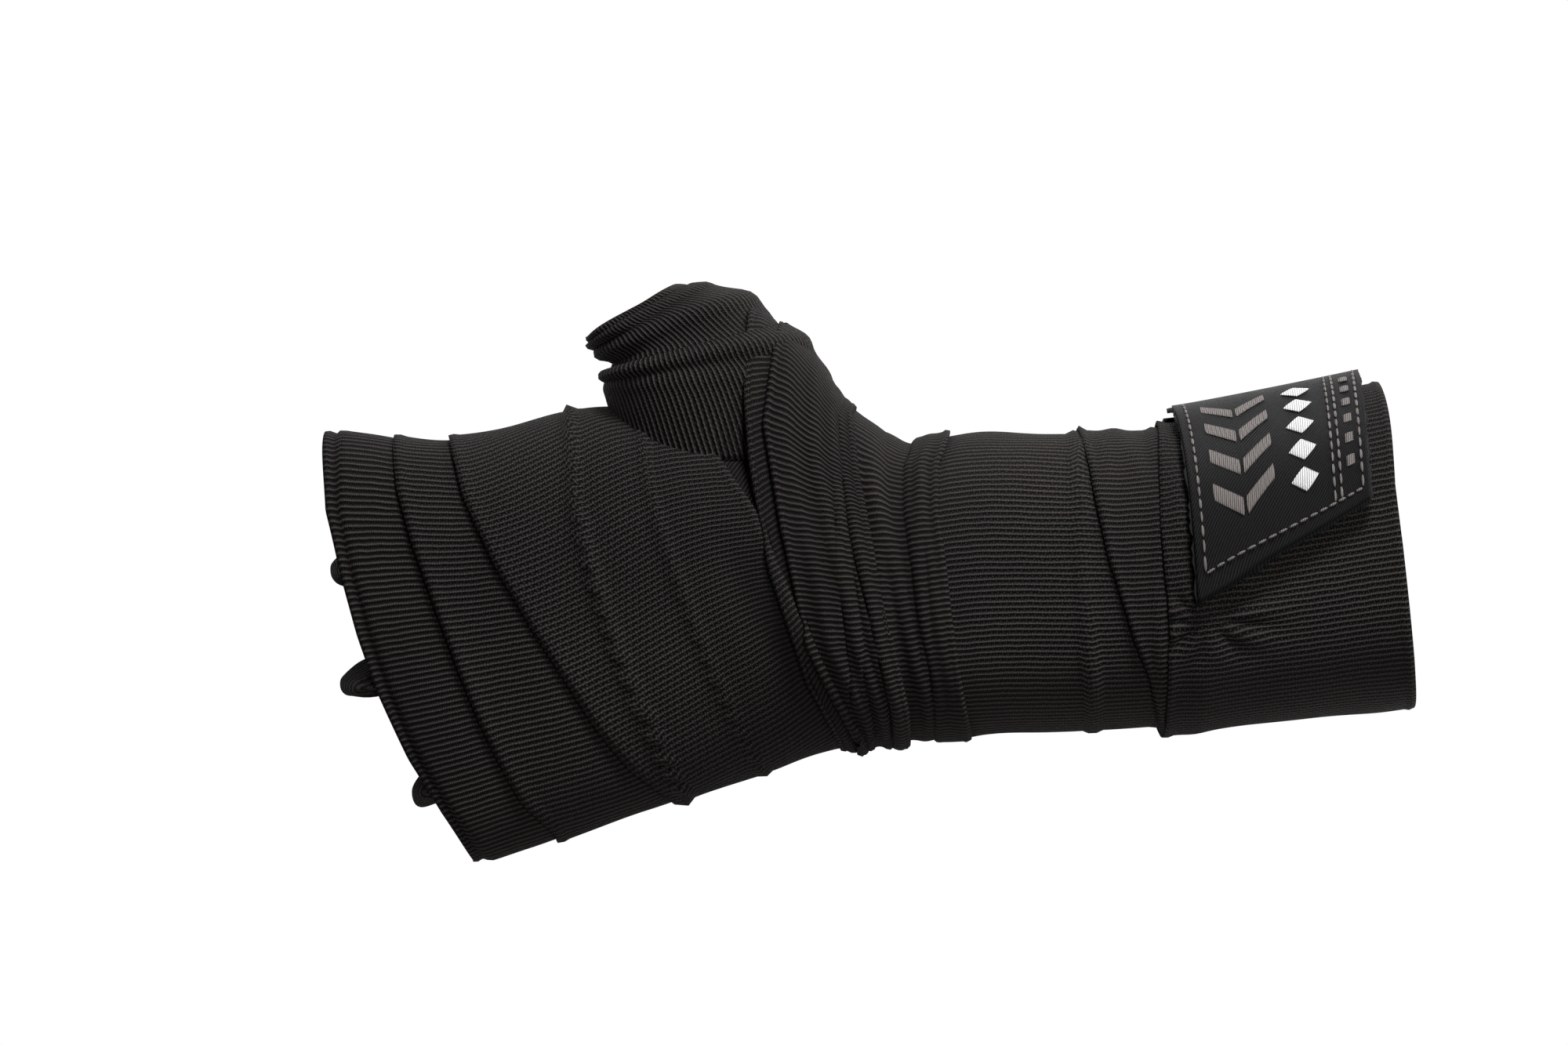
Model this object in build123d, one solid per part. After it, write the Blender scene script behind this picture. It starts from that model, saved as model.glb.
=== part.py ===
"""A semi-elastic hand wrap in its worn shape, palm down, with no hand inside.

One strip, 50 mm wide, is wound in passes round the hand, the thumb, the wrist and the forearm. Every pass is a
thin closed band of its own, and the bands lie on each other in layers. The strip ends in a hook-and-loop tab.
+X runs from the fingers to the elbow, +Y to the thumb side, +Z out of the back of the hand. Millimetres.
"""
import math
import os

from build123d import *

os.makedirs("parts", exist_ok=True)

# Cloth and tape
STRIP_WIDTH = 50.0
CLOTH = 0.8  # thickness of one layer of the strip
LAYER = 0.95  # from the inside of one layer to the inside of the next
TAPE = 0.8  # woven tape of the tab
PILE = 1.0  # loop pile, and the hooks that grip it
BODY_GAP = 0.3  # between the loops and the hooks, which are on different bodies
SKIN_GAP = 0.05  # between two pieces of one body that lie on each other

# The section is a superellipse: between an oval and a rounded box.
SQUARENESS = 2.4
SECTION_POINTS = 24
FAR = 200.0

# Stations of the space for the hand, knuckles to cuff:
# point on the thumb side, point on the little finger side, height of the middle, half depth
HAND = [
    ((-112.2, 29.3), (-81.0, -58.4), 18.6, 13.5),
    ((-84.0, 26.0), (-40.4, -43.9), 20.2, 15.5),
    ((-52.7, 31.8), (-12.7, -34.0), 22.4, 17.5),
    ((-23.7, 28.0), (-3.9, -31.7), 25.0, 19.4),
    ((4.5, 24.7), (5.9, -31.5), 26.2, 20.5),
    ((23.7, 27.2), (23.7, -30.0), 25.8, 21.3),
    ((60.9, 27.0), (61.5, -28.1), 27.0, 21.8),
    ((105.9, 35.6), (112.7, -22.2), 30.6, 22.6),
]
# Stations of the space for the thumb, from inside the hand to the opening
THUMB = [
    ((-44.0, 14.0), (-2.0, 14.0), 24.0, 13.0),
    ((-51.0, 36.7), (-10.5, 41.2), 24.0, 15.0),
    ((-52.0, 45.6), (-26.2, 57.0), 24.0, 12.4),
    ((-57.5, 49.7), (-39.7, 59.7), 24.0, 10.2),
]
# The turns round the thumb, from the skin outwards
THUMB_TURNS = {
    "thumb_loop": THUMB,
    "thumb_turn_upper": [*THUMB[:-1], ((-55.575, 48.265), (-34.975, 58.755), 24.0, 10.97)],
    "thumb_turn_lower": THUMB[:-1],
}
THUMB_OUTSIDE = 2 * LAYER + CLOTH

# Edges of the passes, from the thumb side to the little finger side
KNUCKLE_EDGE = [(-113.0, 31.0), (-107.0, -7.0), (-97.5, -31.0), (-80.5, -60.5)]
SECOND_EDGE = [(-97.5, 30.0), (-89.5, -5.0), (-76.0, -35.5), (-63.0, -53.5)]
BACK_EDGE = [(-87.0, 29.5), (-83.0, 16.0), (-69.5, -10.0), (-49.5, -39.0), (-38.0, -47.5)]
BACK_FAR_EDGE = [(-38.0, 34.0), (-23.0, 14.0), (-19.0, 3.0), (-8.5, -19.5), (1.0, -37.0)]
CROSS_EDGE = [(-23.5, 58.0), (-23.5, 33.5), (-19.0, -7.0), (-13.5, -21.5), (-2.0, -37.0)]
CROSS_INNER_EDGE = [(-16.5, 54.0), (-20.5, 30.0), (-18.0, 9.5), (-12.5, -13.0), (-2.5, -32.5)]
FOLD_EDGE = [(-2.0, 44.0), (-6.5, 33.5), (-4.5, 16.0), (-1.5, -3.5), (2.5, -26.0), (5.0, -37.0)]
FOREARM_EDGE = [(12.0, 29.5), (8.0, 12.5), (10.5, -7.0), (15.0, -36.0)]
SECOND_FOREARM_EDGE = [(42.5, 31.5), (47.0, 16.5), (51.0, -1.0), (57.5, -17.5), (61.0, -31.0)]
CLOSING_EDGE = [(62.0, 32.0), (60.6, -5.0), (62.5, -32.0)]
CUFF_EDGE = [(105.5, 40.0), (106.8, 18.0), (108.5, 6.0), (111.6, -15.0), (113.4, -26.0)]
SLANT = 1.06  # the hand's passes run at a slant, so they are this much wider along X

# Tab, label and panels, seen on the back of the forearm
LABEL = [(62.6, 60.0), (64.0, 14.0), (69.5, -3.0), (103.0, 16.5), (99.5, 60.0)]
TAB = [(61.6, 60.0), (62.9, 14.0), (68.6, -4.6), (104.6, 16.2), (101.5, 60.0)]
HOOK_OUTLINE = [(65.0, 60.0), (66.2, 14.0), (71.0, 0.4), (101.0, 17.8), (97.5, 60.0)]
LOOP_OUTLINE = [(65.6, 60.0), (66.8, 13.0), (70.8, -1.2), (102.0, 16.8), (98.3, 60.0)]
TAB_ROOT_END = 15.0  # height the tab's sewn root reaches down to
HINGE_GAP = 0.3
HINGE_LINE = ((60.9, 27.0), (105.9, 30.6))  # (x, z) at both ends of the cuff
STITCH_LENGTH = 1.9
STITCH_PITCH = 2.6
THREAD = 0.28  # radius

# Straps between the fingers: middle of each web, and the straps' size
WEBS = {
    "web_strap_index_middle": (-101.5, 4.5),
    "web_strap_middle_ring": (-95.0, -22.0),
    "web_strap_ring_little": (-85.5, -44.0),
}
WEB_LENGTH = 13.0
WEB_THICKNESS = 4.4
WEB_ANGLE = 12.0  # the fingers' direction below -X


def signed_power(value, power):
    return math.copysign(abs(value) ** power, value)


def section(station, grow):
    """Closed outline of the worn form at one station, grown by a distance."""
    (ax, ay), (bx, by), height, depth = station
    middle = Vector((ax + bx) / 2, (ay + by) / 2, height)
    side = Vector(ax - bx, ay - by, 0)
    half = side.length / 2 + grow
    side = side.normalized()
    points = []
    for i in range(SECTION_POINTS):
        turn = 2 * math.pi * i / SECTION_POINTS
        along = half * signed_power(math.cos(turn), 2 / SQUARENESS)
        up = (depth + grow) * signed_power(math.sin(turn), 2 / SQUARENESS)
        points.append(middle + side * along + Vector(0, 0, up))
    return Wire(Polyline(*points, close=True))


def tube(stations, grow):
    """Solid worn form through its stations, grown by a distance."""
    return Solid.make_loft([section(s, grow) for s in stations], True)


def walls(stations, low, high):
    """Closed tube wall between two distances from the worn form."""
    faces = []
    for grow in (low, high):
        faces += [face for face in tube(stations, grow).faces() if len(face.edges()) == 4]
    for end in (stations[0], stations[-1]):
        faces.append(Face(section(end, high), [section(end, low)]))
    return Solid(Shell(faces))


def prism(outline, low=-FAR, high=FAR):
    """Everything over an outline in XY, between two heights."""
    face = make_face(Polyline(*[(x, y, low) for x, y in outline], close=True))
    return extrude(face, amount=high - low, dir=(0, 0, 1))


def carried_on(edge):
    """An edge with both its ends carried on past the sides of the form."""
    top, bottom = edge[0], edge[-1]
    return [(top[0], top[1] + 40), *edge, (bottom[0], bottom[1] - 40)]


def between(left, right):
    """Outline between two edges."""
    return [*carried_on(left), *reversed(carried_on(right))]


def moved(edge, dx):
    return [(x + dx, y) for x, y in edge]


def one_solid(shape):
    """The largest solid of a cut: slivers where edges run out are dropped."""
    return max(shape.solids(), key=lambda s: s.volume)


def band(layer, outline, thumb_hole=False):
    """A pass of the strip in one layer, inside an outline seen from above."""
    inside = layer * LAYER
    kept = walls(HAND, inside, inside + CLOTH) & prism(outline)
    if thumb_hole:
        kept = kept - tube(THUMB, THUMB_OUTSIDE + 0.3)
    return one_solid(kept)


def knuckle_turns():
    width = STRIP_WIDTH * SLANT
    first = moved(KNUCKLE_EDGE, 3.0)
    last = moved(KNUCKLE_EDGE, width)
    overlap = between(SECOND_EDGE, moved(SECOND_EDGE, width))
    return {
        "knuckle_turn_inner": band(0, between(first, last), thumb_hole=True),
        "knuckle_turn_outer": band(1, between(KNUCKLE_EDGE, last), thumb_hole=True),
        "knuckle_turn_overlap": band(2, overlap, thumb_hole=True),
    }


def hand_passes():
    """Passes over the back and the palm, below the thumb."""
    after_first = moved(KNUCKLE_EDGE, STRIP_WIDTH * SLANT + 0.4)
    after_third = moved(SECOND_EDGE, STRIP_WIDTH * SLANT + 0.4)
    wrist_side = [(-7.0, 34.0), (-6.0, 0.0), (-3.0, -37.0)]
    under_end = [(-2.0, 36.0), (2.0, 0.0), (5.0, -40.0)]
    return {
        "palm_turn_inner": band(0, between(after_first, wrist_side), thumb_hole=True),
        "palm_turn_outer": band(1, between(after_first, wrist_side), thumb_hole=True),
        "cross_pass_under": band(2, between(after_third, under_end), thumb_hole=True),
        "back_pass_diagonal": band(3, between(BACK_EDGE, BACK_FAR_EDGE), thumb_hole=True),
    }


def thumb_turns():
    """Turns round the thumb, in three layers, ending at the inside of the hand's first layer."""
    hand = tube(HAND, -0.1)
    turns = {}
    for layer, (name, stations) in enumerate(THUMB_TURNS.items()):
        inside = layer * LAYER
        turns[name] = one_solid(walls(stations, inside, inside + CLOTH) - hand)
    return turns


def wrist_turns():
    first = [(-6.6, 34.0), (-5.6, 0.0), (-2.6, -37.0)]
    second = moved(first, STRIP_WIDTH + 0.4)
    first_turn = between(first, moved(first, STRIP_WIDTH))
    second_turn = between(second, moved(second, STRIP_WIDTH))
    return {
        "thumb_cross_turn_inner": band(4, between(CROSS_EDGE, FOLD_EDGE), thumb_hole=True),
        "thumb_cross_turn_outer": band(5, between(CROSS_INNER_EDGE, moved(FOLD_EDGE, 4.0)), thumb_hole=True),
        "wrist_turn_first": band(0, first_turn, thumb_hole=True),
        "wrist_turn_second": band(1, first_turn, thumb_hole=True),
        "wrist_turn_gathered": band(3, between(moved(FOLD_EDGE, 0.5), moved(FOREARM_EDGE, 6.0)), thumb_hole=True),
        "forearm_turn_first": band(0, second_turn),
        "forearm_turn_second": band(1, second_turn),
    }


def forearm_turns():
    right = [(59.5, 31.5), (59.5, 0.0), (61.0, -33.0)]
    narrow_end = moved(SECOND_FOREARM_EDGE, STRIP_WIDTH - 4.0)
    return {
        "forearm_turn_wide": band(2, between(FOREARM_EDGE, right)),
        "forearm_turn_third": band(2, between(moved(right, 0.4), moved(CUFF_EDGE, -3.0))),
        "forearm_turn_narrow": band(3, between(SECOND_FOREARM_EDGE, narrow_end)),
        "closing_turn": band(4, between(CLOSING_EDGE, CUFF_EDGE)),
    }


def web_straps():
    """Gathered straps that stand between the fingers, from the palm to the back."""
    room = tube(HAND, -0.1)
    straps = {}
    for name, (x, y) in WEBS.items():
        block = extrude(RectangleRounded(WEB_LENGTH, WEB_THICKNESS, WEB_THICKNESS / 2 - 0.01), 60)
        straps[name] = one_solid(Pos(x, y, 0) * Rot(0, 0, WEB_ANGLE) * block & room)
    return straps


# Distances of the closure's pieces from the worn form
CLOSING_TOP = 4 * LAYER + CLOTH
TAB_ROOT = (CLOSING_TOP + SKIN_GAP, CLOSING_TOP + SKIN_GAP + TAPE)
LOOPS = (CLOSING_TOP + SKIN_GAP, CLOSING_TOP + SKIN_GAP + PILE)
HOOKS = (LOOPS[1] + BODY_GAP, LOOPS[1] + BODY_GAP + PILE)
TAB_SKIN = (HOOKS[1] + SKIN_GAP, HOOKS[1] + SKIN_GAP + TAPE)
LABEL_SKIN = (TAB_SKIN[1] + SKIN_GAP, TAB_SKIN[1] + SKIN_GAP + CLOTH)


def hinge_height(x):
    (x0, z0), (x1, z1) = HINGE_LINE
    return z0 + (z1 - z0) * (x - x0) / (x1 - x0)


def above_hinge(gap):
    """Everything on the thumb side's upper half, above the hinge line and a gap."""
    x0, x1 = HINGE_LINE[0][0] - 20, HINGE_LINE[1][0] + 20
    outline = [(x0, FAR), (x1, FAR), (x1, hinge_height(x1) + gap), (x0, hinge_height(x0) + gap)]
    face = make_face(Polyline(*[(x, -FAR, z) for x, z in outline], close=True))
    return extrude(face, amount=2 * FAR, dir=(0, 1, 0))


def stitches(surface, path):
    """Separate threads laid on a surface, along a path seen from above."""
    threads = []
    for (ax, ay), (bx, by) in zip(path, path[1:]):
        run = math.hypot(bx - ax, by - ay)
        count = max(1, int(run / STITCH_PITCH))
        reach = STITCH_LENGTH / 2 / run
        for i in range(count):
            ends = []
            for share in ((i + 0.5) / count - reach, (i + 0.5) / count + reach):
                line = Axis((ax + (bx - ax) * share, ay + (by - ay) * share, FAR), (0, 0, -1))
                ends.append(max((p for p, _ in surface.find_intersection_points(line)), key=lambda p: p.Z))
            start, end = ends
            frame = Plane(origin=start + Vector(0, 0, 2 * THREAD), z_dir=end - start)
            length = (end - start).length
            threads.append(frame * Pos(0, 0, length / 2) * Cylinder(THREAD, length))
    return threads


def closure():
    """Tab with its label, and the hook-and-loop panels, at the cuff."""
    over = above_hinge(HINGE_GAP)
    under = prism(TAB, low=TAB_ROOT_END) - above_hinge(-HINGE_GAP)
    thumb_side = prism([(FAR, 0), (-FAR, 0), (-FAR, FAR), (FAR, FAR)])
    label_top = tube(HAND, LABEL_SKIN[1])
    border = [(66.0, 29.0), (71.2, 1.2), (99.9, 18.2), (97.6, 33.0)]
    divider = [(89.6, 31.0), (92.6, 16.0)]
    rows = stitches(label_top, border) + stitches(label_top, divider)
    return {
        "tab_root": one_solid(walls(HAND, *TAB_ROOT) & under & thumb_side),
        "loop_panel": one_solid(walls(HAND, *LOOPS) & prism(LOOP_OUTLINE) & over),
        "hook_panel": one_solid(walls(HAND, *HOOKS) & prism(HOOK_OUTLINE) & over),
        "closure_tab": one_solid(walls(HAND, *TAB_SKIN) & prism(TAB) & over),
        "label_patch": one_solid(walls(HAND, *LABEL_SKIN) & prism(LABEL) & over),
        "label_stitching": Compound(children=rows),
    }


def main():
    pieces = {}
    for group in (knuckle_turns, hand_passes, thumb_turns, wrist_turns, forearm_turns, web_straps, closure):
        pieces.update(group())
    box = Compound(children=[Pos(0, 0, 0) * piece for piece in pieces.values()]).bounding_box()
    to_origin = Pos(-box.center().X, -box.center().Y, -box.min.Z)
    for name, piece in pieces.items():
        export_step(to_origin * piece, f"parts/{name}.step")


main()
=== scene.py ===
import math
import random

import bmesh
import bpy
import numpy as np
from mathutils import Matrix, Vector


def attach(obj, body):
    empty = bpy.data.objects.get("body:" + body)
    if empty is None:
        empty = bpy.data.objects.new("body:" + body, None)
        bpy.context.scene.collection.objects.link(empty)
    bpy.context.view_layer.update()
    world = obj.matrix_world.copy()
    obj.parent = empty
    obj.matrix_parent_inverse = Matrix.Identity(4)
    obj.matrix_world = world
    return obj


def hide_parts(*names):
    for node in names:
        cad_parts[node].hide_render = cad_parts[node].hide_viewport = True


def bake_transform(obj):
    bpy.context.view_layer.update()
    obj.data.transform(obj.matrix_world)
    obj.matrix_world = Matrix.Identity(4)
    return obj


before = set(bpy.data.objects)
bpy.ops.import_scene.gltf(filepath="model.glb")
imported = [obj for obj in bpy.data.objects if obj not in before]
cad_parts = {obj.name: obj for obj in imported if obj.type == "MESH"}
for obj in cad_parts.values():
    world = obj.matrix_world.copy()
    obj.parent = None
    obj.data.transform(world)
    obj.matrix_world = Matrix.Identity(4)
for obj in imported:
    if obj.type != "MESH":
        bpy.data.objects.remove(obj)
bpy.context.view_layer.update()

MM = 0.001

# The worn form. Stations from past the knuckles to the cuff, in millimetres:
# thumb-side x, y, little-finger-side x, y, height of the middle, half depth
HAND = np.array([
    (-122.3, 30.5, -95.4, -63.5, 18.0, 12.8),
    (-112.4, 29.3, -81.2, -58.4, 18.6, 13.5),
    (-84.2, 26.0, -40.6, -43.9, 20.2, 15.5),
    (-52.9, 31.8, -12.9, -34.0, 22.4, 17.5),
    (-23.9, 28.0, -4.1, -31.7, 25.0, 19.4),
    (4.3, 24.7, 5.7, -31.5, 26.2, 20.5),
    (23.5, 27.2, 23.5, -30.0, 25.8, 21.3),
    (60.7, 27.0, 61.3, -28.1, 27.0, 21.8),
    (105.7, 35.6, 112.5, -22.2, 30.6, 22.6),
])
THUMB = np.array([
    (-44.2, 14.0, -2.2, 14.0, 24.0, 13.0),
    (-51.2, 36.7, -10.7, 41.2, 24.0, 15.0),
    (-52.2, 45.6, -26.4, 57.0, 24.0, 12.4),
    (-57.7, 49.7, -39.9, 59.7, 24.0, 10.2),
])
SQUARENESS = 2.4
CLOTH = 0.85
LAYER = CLOTH + 0.1  # height that one more layer adds
CUFF_STATION = 45  # millimetres between the last two stations of the hand
STRIP = 50.0
RIB = 1.15  # pitch of the ribs
LOOP_PITCH = 1.25  # of the loops of thread between the ribs
TWIST_PITCH = 0.5  # of the twist of a rib's threads
TURN_STEPS = 240
TURNS = np.linspace(0, 2 * math.pi, TURN_STEPS + 1)
# How far the turns over the wrist stand out over the thumb's root: x, distance
ROOT_X = [-24, -17, -11, -7.3, -2, 3.2, 9]
ROOT_OUT = [25, 20.5, 14.5, 10, 6, 2, 0]


def smooth(low, high, value):
    part = np.clip((value - low) / (high - low), 0, 1)
    return part * part * (3 - 2 * part)


def station(table, s):
    """Smooth values between the stations of a table."""
    last = len(table) - 1
    s = np.clip(s, 0, last)
    i = np.minimum(np.floor(s).astype(int), last - 1)
    part = (s - i)[..., None]
    before, a = table[np.maximum(i - 1, 0)], table[i]
    b, after = table[i + 1], table[np.minimum(i + 2, last)]
    slope_a, slope_b = (b - before) / 2, (after - a) / 2
    return ((2 * part**3 - 3 * part**2 + 1) * a + (part**3 - 2 * part**2 + part) * slope_a
            + (3 * part**2 - 2 * part**3) * b + (part**3 - part**2) * slope_b)


def power(value):
    return np.sign(value) * np.abs(value) ** (2 / SQUARENESS)


def on_form(table, s, turn, grow):
    """Points in millimetres on a form at stations and turns, grown by a distance."""
    at = station(table, s)
    side_x, side_y = at[..., 0] - at[..., 2], at[..., 1] - at[..., 3]
    length = np.hypot(side_x, side_y)
    along = (length / 2 + grow) * power(np.cos(turn)) / length
    x = (at[..., 0] + at[..., 2]) / 2 + side_x * along
    y = (at[..., 1] + at[..., 3]) / 2 + side_y * along
    return x, y, at[..., 4] + (at[..., 5] + grow) * power(np.sin(turn))


def over_thumb_root(x, turn):
    """Distance that the wrist's turns stand out towards the thumb."""
    return np.interp(x, ROOT_X, ROOT_OUT) * smooth(0.25, 1.0, np.cos(turn))


def waves(a, b, seed, size):
    """Gentle unevenness of hand-wound cloth."""
    source = random.Random(seed)
    total = 0
    for _ in range(6):
        wave_a, wave_b = source.choice([1, 2, 3, 4, 5]), source.uniform(0.4, 3.2)
        total = total + np.sin(wave_a * a + 2 * math.pi * wave_b * b + source.uniform(0, 6.3))
    return size * total / 3


# Passes from the inside out. Edges go from the thumb side to the little finger side.
KNUCKLE = [(-113.2, 31), (-112.3, 14.5), (-109, 1.3), (-105, -11.8), (-100.8, -23.4), (-94.2, -38.2),
           (-87.6, -49.7), (-81, -60)]
SECOND = [(-98.4, 29.4), (-97.1, 17.7), (-94.2, 7.1), (-89.4, -6), (-84.4, -19.2), (-80.2, -29.2),
          (-76.1, -37.4), (-71.1, -46.5), (-64.7, -53)]
BACK = [(-87, 29.5), (-83, 16), (-76.5, 2), (-69.5, -10), (-56, -31), (-49.5, -39), (-38, -47.5)]
BACK_FAR = [(-38, 34), (-30.6, 24), (-23, 13), (-19.5, 3), (-8.5, -19.5), (1, -37)]
CROSS = [(-24, 58), (-24.6, 37), (-23.5, 23), (-20, 1), (-13.5, -20), (-3, -38)]
CROSS_IN = [(-17, 54), (-21, 30), (-18, 9.5), (-12.5, -13), (-2.5, -32.5)]
FOLD = [(-2, 44), (-7.5, 32), (-6.5, 20), (-4, 8), (0, -8), (3.5, -26), (5, -37)]
FOREARM = [(11, 29.5), (8, 22), (8, 12.5), (10.5, -7), (13, -20), (15, -36)]
NARROW = [(42, 31.5), (45.5, 22), (49, 4), (54, -12), (57.5, -20), (61, -32)]
CLOSING = [(59.8, 32), (59.5, 10), (61.2, -10), (60.5, -32)]
CUFF = [(105.3, 40), (106.6, 18), (108.2, 6), (110.6, -15), (111.6, -26)]
WRIST = [(-6.6, 34), (-5.6, 0), (-2.6, -37)]


def moved(edge, dx):
    return [(x + dx, y) for x, y in edge]


WIDE = STRIP * 1.06
# name: left edge, right edge, folds, openness of the weave, does it stand out over the thumb's root
# A fold is its place across the strip, its drift round the turn, its width and its height in millimetres.
PASSES = {
    "knuckle_turn_inner": (moved(KNUCKLE, 3), moved(KNUCKLE, WIDE), [], 0.2, False),
    "palm_turn_inner": (moved(KNUCKLE, WIDE - 1), moved(WRIST, 0), [], 0.3, False),
    "wrist_turn_first": (WRIST, moved(WRIST, STRIP), [], 0.2, False),
    "forearm_turn_first": (moved(WRIST, STRIP - 1), moved(WRIST, 2 * STRIP - 2), [], 0.2, False),
    "knuckle_turn_outer": (KNUCKLE, moved(KNUCKLE, WIDE), [(0.3, 0.05, 0.1, 0.25)], 0.15, False),
    "palm_turn_outer": (moved(KNUCKLE, WIDE - 1), moved(WRIST, 0), [], 0.3, False),
    "wrist_turn_second": (WRIST, moved(WRIST, STRIP), [], 0.2, False),
    "forearm_turn_second": (moved(WRIST, STRIP - 1), moved(WRIST, 2 * STRIP - 1), [], 0.2, False),
    "knuckle_turn_overlap": (SECOND, moved(SECOND, WIDE), [(0.5, 0.2, 0.1, 0.3)], 0.3, False),
    "cross_pass_under": (moved(SECOND, WIDE - 1), [(-8, 36), (-4, 0), (2, -40)], [], 0.1, False),
    "forearm_turn_wide": (FOREARM, [(59.5, 31.5), (59.5, 0), (61, -33)], [(0.12, 0.1, 0.05, 0.35)], 0.5, False),
    "forearm_turn_third": ([(58.5, 31.5), (58.5, 0), (60, -33)], moved(CUFF, -3), [], 0.2, False),
    "back_pass_diagonal": (BACK, BACK_FAR, [(0.35, 0.3, 0.12, 0.35), (0.7, -0.2, 0.12, 0.3)], 0.6, False),
    "wrist_turn_gathered": (moved(FOLD, 1), moved(FOREARM, 6),
                            [(0.15, 0.2, 0.09, 1.1), (0.42, -0.2, 0.08, 0.9), (0.66, 0.15, 0.07, 0.7),
                             (0.86, -0.1, 0.06, 0.5)], 0.2, True),
    "forearm_turn_narrow": (NARROW, moved(NARROW, STRIP - 4),
                            [(0.1, 0.15, 0.05, 0.5), (0.25, -0.1, 0.06, 0.4)], 0.4, False),
    "thumb_cross_turn_inner": (CROSS, FOLD, [(0.25, 0.2, 0.08, 0.4), (0.6, 0.2, 0.1, 0.5)], 0.8, True),
    "thumb_cross_turn_outer": (CROSS_IN, moved(FOLD, 4),
                               [(0.3, 0.1, 0.08, 0.7), (0.62, 0.12, 0.07, 1.0), (0.86, 0.05, 0.08, 1.3)],
                               0.3, True),
    "closing_turn": (CLOSING, CUFF, [(0.06, 0.1, 0.05, 0.8), (0.17, -0.25, 0.05, 0.4)], 0.7, False),
}
# How far the ribs slant against straight across a pass
SLANTS = {"cross_pass_under": 1.1, "back_pass_diagonal": 0.27, "thumb_cross_turn_inner": 0.25}
ACROSS = 44


def edge_stations(edge, turn, seed, out):
    """Station at which the form meets an edge, for each turn."""
    ys = np.array([p[1] for p in edge])[::-1]
    xs = np.array([p[0] for p in edge])[::-1]
    low, high = np.zeros_like(turn), np.full_like(turn, len(HAND) - 1.0)
    uneven = waves(turn, 0, seed, 0.35)
    for _ in range(30):
        middle = (low + high) / 2
        x, y, _ = on_form(HAND, middle, turn, 2.0)
        if out:
            y = y + over_thumb_root(x, turn)
        right = x > np.interp(y, ys, xs) + uneven
        high = np.where(right, middle, high)
        low = np.where(right, low, middle)
    return (low + high) / 2


def grid(columns, rows, place, closed, uv):
    """A sheet of cloth: a grid whose vertices a function puts in place."""
    mesh = bmesh.new()
    bmesh.ops.create_grid(mesh, x_segments=columns, y_segments=rows, size=1.0)
    shares = np.array([((v.co.x + 1) / 2, (v.co.y + 1) / 2) for v in mesh.verts])
    i = np.rint(shares[:, 0] * columns).astype(int)
    j = np.rint(shares[:, 1] * rows).astype(int)
    points = place(i, j)
    layer = mesh.loops.layers.uv.new("weave")
    u, v = uv(i, j)
    for face in mesh.faces:
        for loop in face.loops:
            k = loop.vert.index
            loop[layer].uv = (u[k] * MM, v[k] * MM)
    for vert, point in zip(mesh.verts, points):
        vert.co = Vector(point) * MM
    if closed:
        bmesh.ops.remove_doubles(mesh, verts=mesh.verts, dist=1e-7)
    mesh.normal_update()
    return mesh


def turn_outward(mesh, centre):
    """Faces look away from a centre line."""
    out = sum((f.calc_center_median() - centre(f.calc_center_median())).dot(f.normal) for f in mesh.faces)
    if out < 0:
        bmesh.ops.reverse_faces(mesh, faces=mesh.faces)


def linked(name, mesh, material):
    """Smooth object made from a finished mesh."""
    data = bpy.data.meshes.new(name)
    mesh.to_mesh(data)
    mesh.free()
    data.polygons.foreach_set("use_smooth", [True] * len(data.polygons))
    data.materials.append(material)
    piece = bpy.data.objects.new(name, data)
    bpy.context.collection.objects.link(piece)
    return piece


def thicken(piece, thickness, offset=1.0):
    solid = piece.modifiers.new("thickness", "SOLIDIFY")
    solid.thickness = thickness * MM
    solid.offset = offset


def finished(name, mesh, material, body="wrap", thickness=CLOTH):
    """Visible piece that stands for the CAD node of the same name."""
    piece = linked("visual_" + name, mesh, material)
    if thickness:
        thicken(piece, thickness)
    if body:
        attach(piece, body)
    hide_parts(name)
    return piece


# --- Materials ---
class Value:
    """A number in a material, with the usual operators."""

    def __init__(self, tree, socket):
        self.tree, self.socket = tree, socket

    def math(self, operation, other=None, first=False):
        node = self.tree.nodes.new("ShaderNodeMath")
        node.operation = operation
        inputs = [other, self] if first else [self, other]
        for place, value in zip(node.inputs, inputs):
            if isinstance(value, Value):
                self.tree.links.new(value.socket, place)
            elif value is not None:
                place.default_value = value
        return Value(self.tree, node.outputs[0])

    def __add__(self, other):
        return self.math("ADD", other)

    def __mul__(self, other):
        return self.math("MULTIPLY", other)

    def __sub__(self, other):
        return self.math("SUBTRACT", other)

    def __rsub__(self, other):
        return self.math("SUBTRACT", other, True)

    def __pow__(self, other):
        return self.math("POWER", other)

    __radd__ = __add__
    __rmul__ = __mul__

    def wave(self):
        """From 0 to 1 and back as the number grows by one."""
        return (self * (2 * math.pi)).math("COSINE") * 0.5 + 0.5


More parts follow.
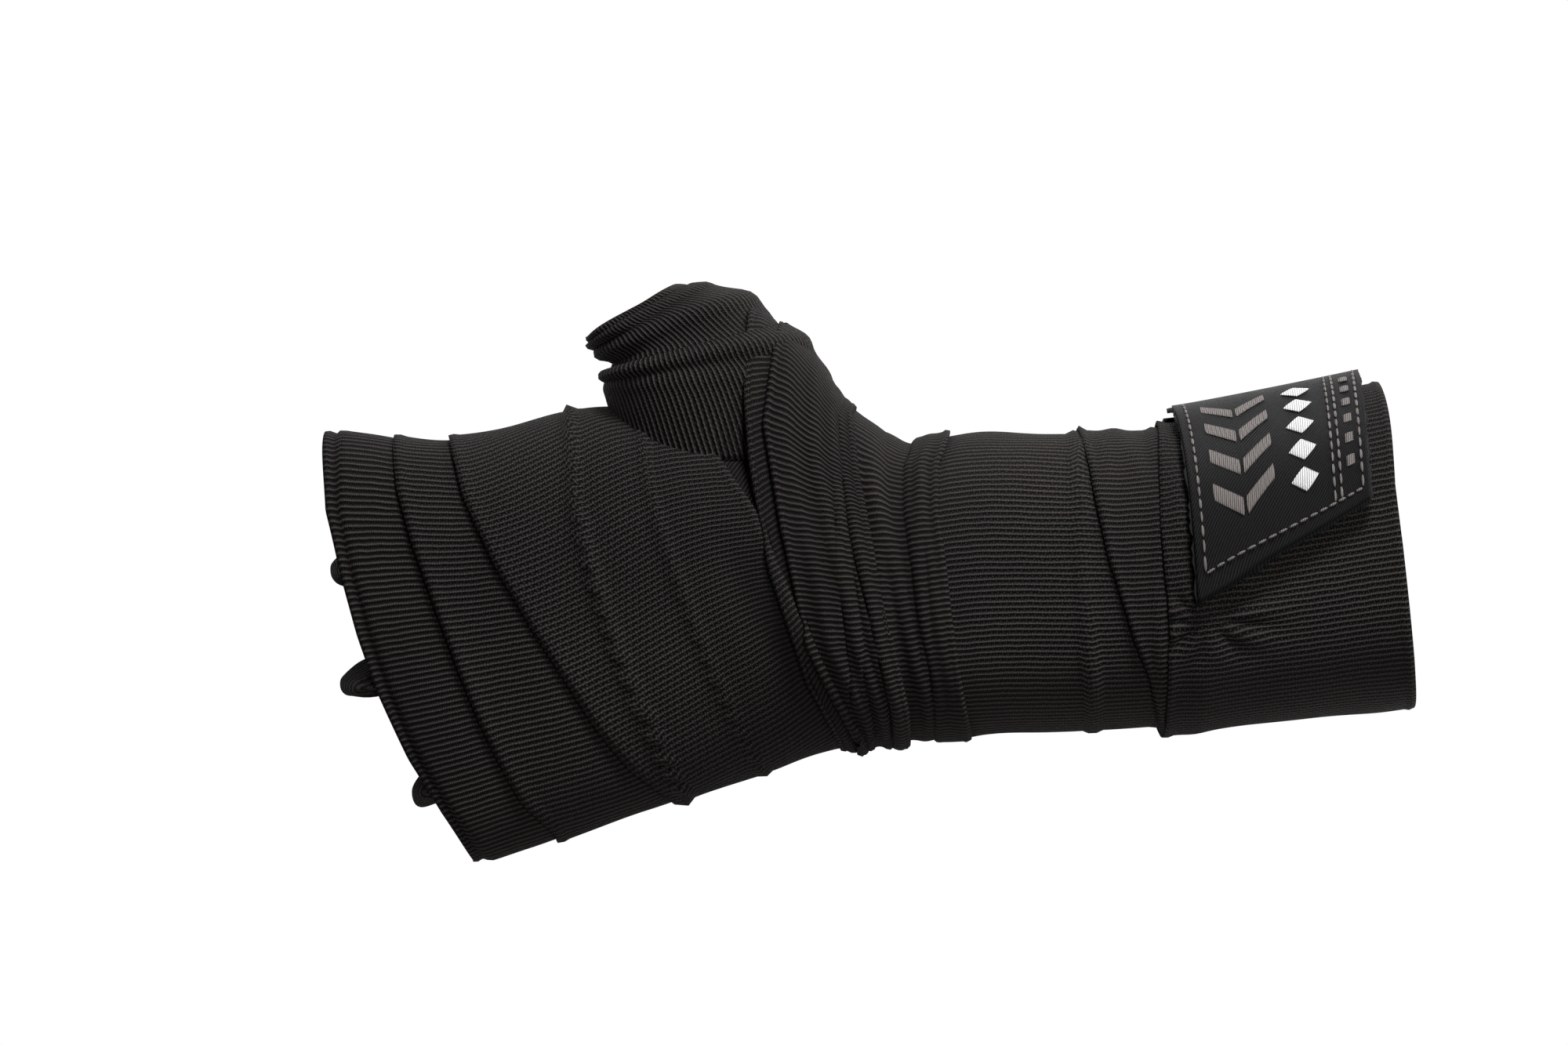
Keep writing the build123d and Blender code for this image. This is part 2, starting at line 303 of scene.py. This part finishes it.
class Recipe:
    """One material under construction."""

    def __init__(self, name):
        self.material = bpy.data.materials.new(name)
        self.material.use_nodes = True
        self.tree = self.material.node_tree
        self.shader = self.tree.nodes["Principled BSDF"]

    def node(self, kind, settings=(), **sockets):
        """First output of a new node, its settings made before its sockets are filled."""
        made = self.tree.nodes.new(kind)
        for key, value in dict(settings).items():
            setattr(made, key, value)
        for key, value in sockets.items():
            self.put(value, made.inputs[key])
        return made.outputs[0]

    def put(self, value, socket):
        if isinstance(value, Value):
            value = value.socket
        if isinstance(value, bpy.types.NodeSocket):
            self.tree.links.new(value, socket)
        else:
            socket.default_value = value

    def number(self, socket):
        return Value(self.tree, socket)

    def weave(self):
        uv = self.node("ShaderNodeUVMap", {"uv_map": "weave"})
        split = self.tree.nodes.new("ShaderNodeSeparateXYZ")
        self.tree.links.new(uv, split.inputs[0])
        return uv, self.number(split.outputs[0]), self.number(split.outputs[1])

    def noise(self, vector, scale, detail=2.0):
        return self.number(self.node("ShaderNodeTexNoise", Vector=vector, Scale=scale, Detail=detail))

    def mix(self, factor, a, b):
        made = self.tree.nodes.new("ShaderNodeMix")
        made.data_type = "RGBA"
        self.put(factor, made.inputs[0])
        self.put(a, made.inputs[6])
        self.put(b, made.inputs[7])
        return made.outputs[2]

    def finish(self, color, roughness, height=None, distance=0.0002, strength=1.0, sheen=0.0):
        self.put(color, self.shader.inputs["Base Color"])
        self.put(roughness, self.shader.inputs["Roughness"])
        self.shader.inputs["Sheen Weight"].default_value = sheen
        self.shader.inputs["Sheen Roughness"].default_value = 0.45
        self.shader.inputs["Specular IOR Level"].default_value = 0.12
        if height is not None:
            bump = self.node("ShaderNodeBump", Height=height, Distance=distance, Strength=strength)
            self.put(bump, self.shader.inputs["Normal"])
        return self.material


def color(r, g, b):
    return (r, g, b, 1.0)


def elastic(name, openness):
    """Black elastic strip: ribs across it, and loops of thread between them that open when stretched. Its colour
    has painted shade in the grooves between the ribs and a painted highlight on their crests.
    """
    recipe = Recipe(name)
    uv, u, v = recipe.weave()
    uneven = recipe.noise(uv, 260.0, 3.0)
    patches = recipe.noise(uv, 34.0, 2.0)
    ribs = u * (1000.0 / RIB) + (uneven - 0.5) * 0.35
    row = ribs.math("FLOOR")
    rib = 1.0 - ribs.wave()
    loops = (v * (1000.0 / LOOP_PITCH) + row * 0.5 + (uneven - 0.5) * 0.5).wave()
    gaps = (1.0 - rib) ** 1.5
    links = loops ** 5.0 * openness
    crest = rib ** 1.6
    twist = (v * (1000.0 / TWIST_PITCH) + ribs * 0.8 + uneven * 1.6).wave()
    specks = recipe.noise(uv, 3000.0, 2.0)
    # Painted highlight and shade: the colour rises towards each rib's crest and falls to near black in the
    # grooves, with the thread's twist and specks on top
    thread = crest * (0.35 + 0.6 * twist + 0.9 * (specks - 0.25))
    height = crest * (0.8 + 0.2 * twist) + gaps * links * 0.8 + specks * 0.2
    # Painted shade: near black for the grooves between the ribs; lit is the painted crest highlight colour, in
    # random patches of warmer and greyer tone
    dark = color(0.0004, 0.0004, 0.0006)
    lit = recipe.mix(patches, color(0.072, 0.060, 0.051), color(0.034, 0.032, 0.032))
    cloth = recipe.mix(thread.math("MINIMUM", 1.0), dark, lit)
    cloth = recipe.mix(gaps * links, cloth, color(0.040, 0.040, 0.041))
    return recipe.finish(cloth, 0.75, height, 0.0006, 1.0, 0.0)


def plain_cloth(name, base, dark, pitch, slant, roughness=0.7, distance=0.00015):
    """Fine cloth with one set of threads, straight or slanting."""
    recipe = Recipe(name)
    uv, u, v = recipe.weave()
    lines = ((u + v * slant) * (1000.0 / pitch) * (2 * math.pi)).math("SINE") * 0.5 + 0.5
    height = lines + recipe.noise(uv, 1800.0, 2.0) * 0.3
    return recipe.finish(recipe.mix(lines, dark, base), roughness, height, distance, 0.8, 0.02)


def pile(name, base, dark, size):
    """Hooks or loops: small points standing close together."""
    recipe = Recipe(name)
    uv, _, _ = recipe.weave()
    points = recipe.number(recipe.node("ShaderNodeTexVoronoi", Vector=uv, Scale=size))
    height = 1.0 - points
    return recipe.finish(recipe.mix(points, base, dark), 0.8, height, 0.0008, 1.0, 0.03)


CLOTHS = {openness: elastic(f"elastic_{int(openness * 100)}", openness)
          for openness in sorted({band[3] for band in PASSES.values()} | {0.3})}
TAPE = plain_cloth("woven_tape", color(0.02, 0.02, 0.02), color(0.006, 0.006, 0.006), 0.7, 0.0)
TWILL = plain_cloth("label_twill", color(0.012, 0.012, 0.013), color(0.002, 0.002, 0.002), 0.75, 0.8, 0.5)
GREY_THREAD = plain_cloth("grey_thread", color(0.22, 0.2, 0.19), color(0.1, 0.09, 0.085), 0.4, 0.0, 0.5)
WHITE_THREAD = plain_cloth("white_thread", color(0.82, 0.82, 0.82), color(0.4, 0.4, 0.4), 0.45, 0.0, 0.45)
LOOPS = pile("loop_pile", color(0.03, 0.03, 0.03), color(0.008, 0.008, 0.008), 1500.0)
HOOKS = pile("hook_tape", color(0.025, 0.025, 0.025), color(0.006, 0.006, 0.006), 900.0)


# --- Passes round the hand, wrist and forearm ---
def in_thumb(points):
    """Which points are inside the space for the thumb."""
    steps = np.linspace(0, len(THUMB) - 1, 160)
    at = station(THUMB, steps)
    side = at[:, 0:2] - at[:, 2:4]
    found = []
    for x, y, z in points:
        if not (-60 < x < 0 and y > 20):
            found.append(False)
            continue
        cross = side[:, 0] * (y - at[:, 3]) - side[:, 1] * (x - at[:, 2])
        k = int(np.argmin(np.abs(cross) / np.hypot(side[:, 0], side[:, 1])))
        length = math.hypot(*side[k])
        middle_x, middle_y = (at[k, 0] + at[k, 2]) / 2, (at[k, 1] + at[k, 3]) / 2
        along = ((x - middle_x) * side[k, 0] + (y - middle_y) * side[k, 1]) / length
        size = abs(along / (length / 2)) ** SQUARENESS + abs((z - at[k, 4]) / at[k, 5]) ** SQUARENESS
        found.append(size < 0.97)
    return found


laid = []
NEAR_CUFF = 7.3  # station past which a turn holds its height up to the cuff's edge
# Width of cloth that lies open, in millimetres, where a pass is gathered or partly folded under
OPEN_WIDTHS = {
    "palm_turn_inner": 44, "palm_turn_outer": 44, "cross_pass_under": 36, "wrist_turn_gathered": 24,
    "thumb_cross_turn_inner": 24, "thumb_cross_turn_outer": 24,
}
# The cloth puckers round the corner of the tab: station, turn in radians
PUCKER = (7.16, 1.78)
PUCKER_ROUND = 38  # scale of the creases round the forearm, where CUFF_STATION is the one along it


def puckers(s, turn):
    """Short creases that run out from the tab's corner."""
    along, round_it = (s - PUCKER[0]) * CUFF_STATION, (turn - PUCKER[1]) * PUCKER_ROUND
    away = np.hypot(along, round_it)
    return 0.45 * np.cos(9 * np.arctan2(round_it, along)) * np.exp(-((away - 7) / 6) ** 2)


def height_under(s, turn_index):
    """Height of the cloth already laid at stations and turns."""
    total = np.zeros_like(s)
    for left, right in laid:
        a, b = left[turn_index], right[turn_index]
        b = np.where(b > NEAR_CUFF, len(HAND), b)
        total += LAYER * smooth(-0.03, 0.03, s - a) * smooth(-0.03, 0.03, b - s)
    return total


def hand_middle(point):
    """Point inside the hand, beside a point on the cloth."""
    y = np.interp(point.x / MM, [-100, 0, 110], [-10, -2, 7])
    return Vector((point.x, y * MM, 0.025))


def wind(name, left_edge, right_edge, folds, openness, out):
    seed = len(laid) + 1
    left = edge_stations(left_edge, TURNS, seed, out)
    right = edge_stations(right_edge, TURNS, seed + 40, out)
    left[-1], right[-1] = left[0], right[0]

    def place(i, j):
        share = j / ACROSS
        turn = TURNS[i]
        s = left[i] + (right[i] - left[i]) * share
        grow = height_under(s, i)
        for middle, drift, width, height in folds:
            centre = middle + drift * np.sin(turn + seed)
            swell = 0.65 + 0.35 * np.sin(2 * turn + seed * 1.7)
            grow = grow + height * swell * np.exp(-(((share - centre) / width) ** 2))
        if name == "closing_turn":
            grow = grow + puckers(s, turn)
        edge = np.minimum(share, 1 - share) * STRIP
        grow = grow + waves(turn, share, seed, 0.22) + 0.28 * np.exp(-((edge - 1.0) / 0.8) ** 2)
        x, y, z = on_form(HAND, s, turn, grow)
        if out:
            y = y + over_thumb_root(x, turn)
        return np.stack([x, y, z], axis=-1)

    columns = np.arange(TURN_STEPS + 1)
    line = place(columns, np.full_like(columns, ACROSS // 2))
    steps = np.linalg.norm(np.diff(line, axis=0), axis=1)
    run = np.concatenate([[0], np.cumsum(steps)])
    ribs = round(run[-1] / RIB)
    around = run / run[-1] * ribs * RIB

    def pattern(i, j):
        across = j / ACROSS * STRIP
        return around[i] + SLANTS.get(name, 0) * across, across + seed * 7

    mesh = grid(TURN_STEPS, ACROSS, place, True, pattern)
    turn_outward(mesh, hand_middle)
    if not out:
        inside = in_thumb([tuple(f.calc_center_median() / MM) for f in mesh.faces])
        at_thumb = [face for face, hit in zip(list(mesh.faces), inside) if hit]
        bmesh.ops.delete(mesh, geom=at_thumb, context="FACES")
    piece = finished(name, mesh, CLOTHS[openness])
    OPEN_WIDTHS.get(name, STRIP) * MM
    laid.append((left, right))


for name, band in PASSES.items():
    wind(name, *band)


# --- Turns round the thumb ---
THUMB_STATION = 14  # millimetres of weave from one station of the thumb to the next


def wind_thumb(name, low, high, layer, folds, openness, width):
    rows = 30
    seed = 70 + layer

    def place(i, j):
        share = j / rows
        turn = TURNS[i]
        s = low + (high - low) * share
        grow = np.full_like(s, layer * LAYER)
        for middle, drift, width, height in folds:
            centre = middle + drift * np.cos(turn)
            grow = grow + height * np.exp(-(((share - centre) / width) ** 2))
        grow = grow + waves(turn, share, seed, 0.25)
        return np.stack(on_form(THUMB, s, turn, grow), axis=-1)

    columns = np.arange(TURN_STEPS + 1)
    line = place(columns, np.full_like(columns, rows // 2))
    run = np.concatenate([[0], np.cumsum(np.linalg.norm(np.diff(line, axis=0), axis=1))])
    around = run / run[-1] * round(run[-1] / RIB) * RIB
    mesh = grid(TURN_STEPS, rows, place, True, lambda i, j: (around[i], j / rows * (high - low) * THUMB_STATION))
    turn_outward(mesh, lambda p: Vector((-0.032, p.y, 0.024)))
    piece = finished(name, mesh, CLOTHS[openness])


wind_thumb("thumb_loop", 0.4, 3.0, 0, [(0.95, 0.0, 0.05, 0.5)], 0.3, STRIP)
wind_thumb("thumb_turn_upper", 0.42, 2.72, 1,
           [(0.95, 0.02, 0.05, 0.8), (0.74, 0.05, 0.07, 1.5), (0.56, 0.05, 0.04, -0.5)], 0.3, STRIP)
wind_thumb("thumb_turn_lower", 0.45, 1.55, 2, [(0.9, 0.05, 0.1, 1.5), (0.6, 0.08, 0.1, 0.6)], 0.3, 26)


# --- Straps between the fingers ---
STRAP_CLOTH = 0.6
STRAP_LOW, STRAP_TALL = 5.8, 25.0


def web_strap(name, x, y, reach):
    rows = 24
    around = 48

    def place(i, j):
        share = j / rows
        turn = 2 * math.pi * i / around
        waist = np.sin(math.pi * share) ** 0.5
        long = (7.5 + reach / 2) * (0.8 - 0.05 * waist) * (1 + 0.05 * np.sin(9 * share + x))
        closed_end = np.clip(np.minimum(share, 1 - share) * rows / 2, 0.01, 1)
        thick = (1.2 + 2.4 * waist) * closed_end * (1 + 0.16 * np.sin(3 * turn + 5 * share))
        px = x + 6.0 * (1 - waist) - reach / 2 + long * power(np.cos(turn))
        py = y + thick * power(np.sin(turn)) + 0.21 * long * power(np.cos(turn))
        py = py + 0.5 * np.sin(7 * share + y)
        return np.stack([px, py, STRAP_LOW + share * STRAP_TALL], axis=-1)

    mesh = grid(around, rows, place, True, lambda i, j: (j / rows * 27, i / around * 32))
    turn_outward(mesh, lambda p: Vector((x * MM, y * MM, p.z)))
    piece = finished(name, mesh, CLOTHS[0.3], thickness=0)
    thicken(piece, STRAP_CLOTH, -1.0)


web_strap("web_strap_index_middle", -105.0, 2.5, 1.0)
web_strap("web_strap_middle_ring", -98.5, -21.0, 6.0)
web_strap("web_strap_ring_little", -88.5, -43.5, 1.0)


# --- Closure: panels, tab, label ---
# Corners as station and turn in degrees: fold left, fold right, end right, end left
LABEL_CORNERS = [(7.05, 6), (7.86, 6), (7.80, 77), (7.12, 96)]
PATTERN_LENGTH = 48  # millimetres of weave from a patch's fold to its end


def on_label(a, b, corners=LABEL_CORNERS):
    """Station and turn at a share along the tab's width and a share from its fold to its end."""
    fold_left, fold_right, end_right, end_left = np.array(corners)
    at = ((1 - a) * (1 - b))[..., None] * fold_left + (a * (1 - b))[..., None] * fold_right
    at = at + (a * b)[..., None] * end_right + ((1 - a) * b)[..., None] * end_left
    return at[..., 0], np.radians(at[..., 1])


def patch(name, corners, grow, material, body, thickness, rough=0.0, columns=60, rows=60):
    source = random.Random(len(name))
    ragged = np.array([source.uniform(-1, 1) for _ in range(4 * (columns + rows) + 8)])

    def place(i, j):
        a, b = i / columns, j / rows
        s, turn = on_label(a, b, corners)
        if rough:
            s = s + rough * 0.02 * ragged[j] * ((i == 0) * -1.0 + (i == columns) * 1.0)
            turn = turn + rough * 0.02 * ragged[i + rows] * (j == rows)
        lift = grow + 0.12 * np.sin(5 * a + 3 * b) + 0.1 * np.sin(11 * b + 2 * a)
        return np.stack(on_form(HAND, s, turn, lift), axis=-1)

    width = (corners[1][0] - corners[0][0]) * CUFF_STATION
    mesh = grid(columns, rows, place, False, lambda i, j: (i / columns * width, j / rows * PATTERN_LENGTH))
    turn_outward(mesh, lambda p: Vector((p.x, 0.005, 0.027)))
    piece = finished(name, mesh, material, body, thickness)
    width * MM
    return piece


def grown(corners, amount):
    (a, b), (c, d), (e, f), (g, h) = corners
    return [(a - amount, b), (c + amount, d), (e + amount, f + 60 * amount), (g - amount, h + 60 * amount)]


patch("loop_panel", [(7.07, 3), (7.84, 3), (7.79, 75), (7.14, 92)], 4.9, LOOPS, "wrap", 0.7, 0.6)
patch("tab_root", [(7.02, -38), (7.88, -38), (7.88, -2), (7.02, -2)], 5.0, TAPE, "wrap", 0.8)
patch("hook_panel", [(7.08, 6), (7.83, 6), (7.78, 73), (7.14, 90)], 6.0, HOOKS, "tab", 0.7)
TAB_CORNERS = grown([(7.05, -6), (7.86, -6), (7.80, 77), (7.12, 96)], 0.012)
tab = patch("closure_tab", TAB_CORNERS, 6.8, TAPE, None, 0.8, 0.35)
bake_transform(tab)
patch("label_patch", LABEL_CORNERS, 7.65, TWILL, "tab", 0.6)


def label_point(a, b, grow):
    s, turn = on_label(np.array(float(a)), np.array(float(b)))
    return Vector([float(c) for c in on_form(HAND, s, turn, grow)]) * MM


STITCH_PITCH, STITCH_LENGTH, STITCH_RADIUS = 2.3, 1.9, 0.3
STITCH_HEIGHT, ROW_HEIGHT = 8.5, 8.42  # above the form
# A row of embroidery is one stitch, whatever its length
ROW_PITCH, ROW_LENGTH, ROW_RADIUS = 60.0, 58.0, 0.24


def threads(mesh, path, pitch, length, radius, grow):
    """Separate stitches along a path on the label."""
    for start, end in zip(path, path[1:]):
        a, b = label_point(*start, grow), label_point(*end, grow)
        count = max(1, round((b - a).length / (pitch * MM)))
        for k in range(count):
            reach = length / pitch / 2
            shares = [(k + 0.5 - reach) / count, (k + 0.5 + reach) / count]
            ends = [label_point(start[0] + (end[0] - start[0]) * t, start[1] + (end[1] - start[1]) * t, grow)
                    for t in shares]
            stitch = bmesh.ops.create_uvsphere(mesh, u_segments=8, v_segments=6, radius=1.0)
            direction = ends[1] - ends[0]
            turn = direction.to_track_quat("Z", "Y").to_matrix()
            for vert in stitch["verts"]:
                local = Vector((vert.co.x * radius * MM, vert.co.y * radius * MM,
                                vert.co.z * direction.length / 2))
                vert.co = turn @ local + (ends[0] + ends[1]) / 2


def with_weave(mesh):
    """The mesh, with thread laid over it in plan."""
    layer = mesh.loops.layers.uv.new("weave")
    for face in mesh.faces:
        for loop in face.loops:
            loop[layer].uv = (loop.vert.co.x, loop.vert.co.y)
    return mesh


border = [(0.05, 0.05), (0.05, 0.94), (0.95, 0.94), (0.95, 0.05)]
dividers = [[(0.77, 0.05), (0.77, 0.94)], [(0.81, 0.05), (0.81, 0.94)]]
seams = bmesh.new()
for path in [border] + dividers:
    threads(seams, path, STITCH_PITCH, STITCH_LENGTH, STITCH_RADIUS, STITCH_HEIGHT)
finished("label_stitching", with_weave(seams), GREY_THREAD, "tab", 0)


def share_along(start, end, share):
    return tuple(a + (b - a) * share for a, b in zip(start, end))


def embroidered(name, stripes, material):
    """Close rows of thread that fill stripes on the label: each row runs from one long side to the other."""
    mesh = bmesh.new()
    for one_side, other_side, rows in stripes:
        for k in range(rows):
            share = (k + 0.5) / rows
            row = [share_along(*one_side, share), share_along(*other_side, share)]
            threads(mesh, row, ROW_PITCH, ROW_LENGTH, ROW_RADIUS, ROW_HEIGHT)
    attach(linked("visual_" + name, with_weave(mesh), material), "tab")


# Motif: grey chevrons, a row of white diamonds beside them, and grey bars on the narrow field
chevrons = []
for k in range(4):
    base = 0.14 + 0.17 * k
    chevrons.append((((0.13, base), (0.28, base + 0.1)), ((0.13, base + 0.08), (0.28, base + 0.18)), 22))
    chevrons.append((((0.45, base), (0.30, base + 0.1)), ((0.45, base + 0.08), (0.30, base + 0.18)), 22))
embroidered("label_chevrons", chevrons, GREY_THREAD)
white = []
for k in range(5):
    middle = 0.2 + 0.145 * k
    top, bottom = (0.61, middle - 0.06), (0.61, middle + 0.06)
    left, right = (0.53, middle), (0.69, middle)
    white.append(((top, right), (left, bottom), 14))
embroidered("label_diamonds", white, WHITE_THREAD)
bars = []
for k in range(6):
    start, end = 0.16 + 0.12 * k, 0.21 + 0.12 * k
    bars.append((((0.85, start), (0.85, end)), ((0.91, start), (0.91, end)), 7))
embroidered("label_bars", bars, GREY_THREAD)


# --- Set, light and camera ---
def floor():
    """Plain pale floor that looks pure white to the camera."""
    mesh = bmesh.new()
    bmesh.ops.create_grid(mesh, x_segments=1, y_segments=1, size=4.0)
    bmesh.ops.translate(mesh, verts=mesh.verts, vec=(0, 0, -0.0005))
    recipe = Recipe("floor")
    recipe.put(color(0.9, 0.9, 0.9), recipe.shader.inputs["Base Color"])
    recipe.put(0.9, recipe.shader.inputs["Roughness"])
    glow = recipe.node("ShaderNodeEmission", Color=color(1, 1, 1))
    mix = recipe.tree.nodes.new("ShaderNodeMixShader")
    recipe.put(recipe.tree.nodes.new("ShaderNodeLightPath").outputs["Is Camera Ray"], mix.inputs[0])
    recipe.put(recipe.shader.outputs[0], mix.inputs[1])
    recipe.put(glow, mix.inputs[2])
    recipe.put(mix.outputs[0], recipe.tree.nodes["Material Output"].inputs[0])
    linked("floor", mesh, recipe.material)


def lamp(name, place, aim, size, power_watts, tint=(1, 1, 1)):
    data = bpy.data.lights.new(name, "AREA")
    data.shape = "DISK"
    data.size = size
    data.energy = power_watts
    data.color = tint
    light = bpy.data.objects.new(name, data)
    bpy.context.collection.objects.link(light)
    light.location = place
    light.rotation_euler = (Vector(aim) - Vector(place)).to_track_quat("-Z", "Y").to_euler()


floor()
lamp("key", (0.22, 1.0, 0.6), (0.02, 0, 0.03), 0.35, 16, (0.97, 0.98, 1.0))
lamp("front", (0.3, 0.0, 1.1), (0.03, 0, 0.03), 0.3, 4.5, (1.0, 0.97, 0.94))
lamp("edge", (0.9, 0.5, 0.5), (0.05, 0, 0.03), 0.3, 4)
world = bpy.data.worlds.new("studio")
world.use_nodes = True
world.node_tree.nodes["Background"].inputs[0].default_value = color(1, 1, 1)
world.node_tree.nodes["Background"].inputs[1].default_value = 0.07
bpy.context.scene.world = world
bpy.context.scene.view_settings.view_transform = "Standard"

camera_data = bpy.data.cameras.new("camera")
camera = bpy.data.objects.new("camera", camera_data)
bpy.context.collection.objects.link(camera)
CAMERA_HEIGHT = 1.45
VIEW_HEIGHT = 0.035  # height at which the view is VIEW_WIDTH wide
VIEW_WIDTH = 0.3226
camera.location = (-0.0173, 0.0112, CAMERA_HEIGHT)
camera_data.sensor_width = 36.0
camera_data.lens = 36.0 * (CAMERA_HEIGHT - VIEW_HEIGHT) / VIEW_WIDTH
bpy.context.scene.camera = camera
